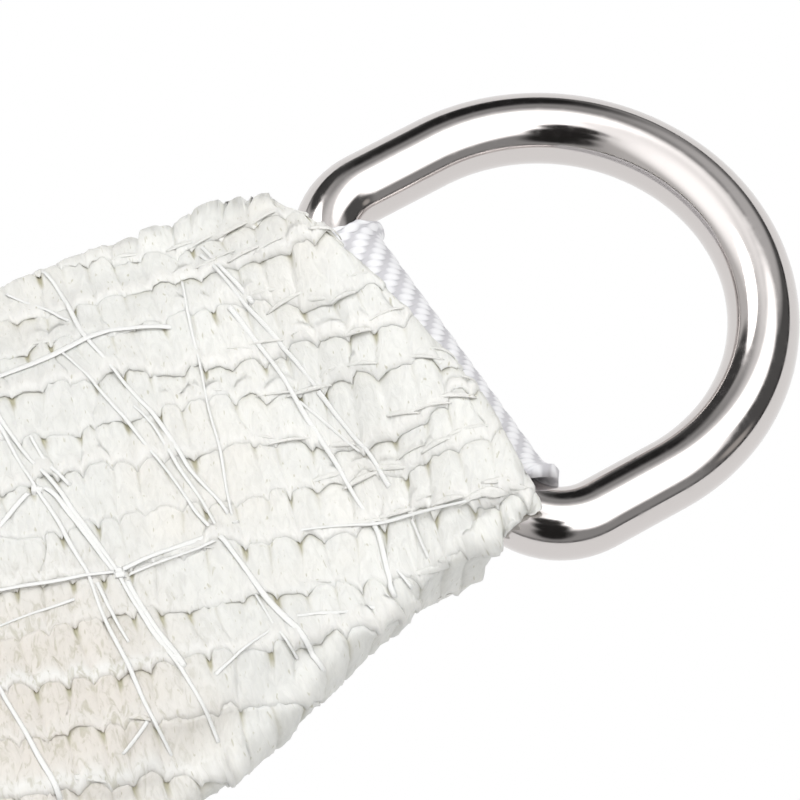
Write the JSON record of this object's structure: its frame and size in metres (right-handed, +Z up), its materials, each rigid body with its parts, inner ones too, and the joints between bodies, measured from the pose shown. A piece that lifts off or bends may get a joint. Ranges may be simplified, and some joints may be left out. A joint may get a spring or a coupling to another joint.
{
  "type": "shade sail corner with d-ring",
  "caption": "Hemmed corner of a knitted shade sail with a webbing loop and a round-wire D-ring, lying flat.",
  "frame": {"origin": "on the surface the corner lies on, below the centre of the whole part's outline", "axes": "+X along the ring's bar, +Y from the cut end of the cloth towards the ring, +Z up from the surface"},
  "size_m": [0.0764, 0.1339, 0.0112],
  "materials": {
    "steel": "polished",
    "webbing": "matte",
    "cloth": "matte"
  },
  "bodies": {
    "root": {"d_ring": "steel", "webbing_loop": "webbing", "sail_cloth": "cloth"}
  },
  "joints": []
}
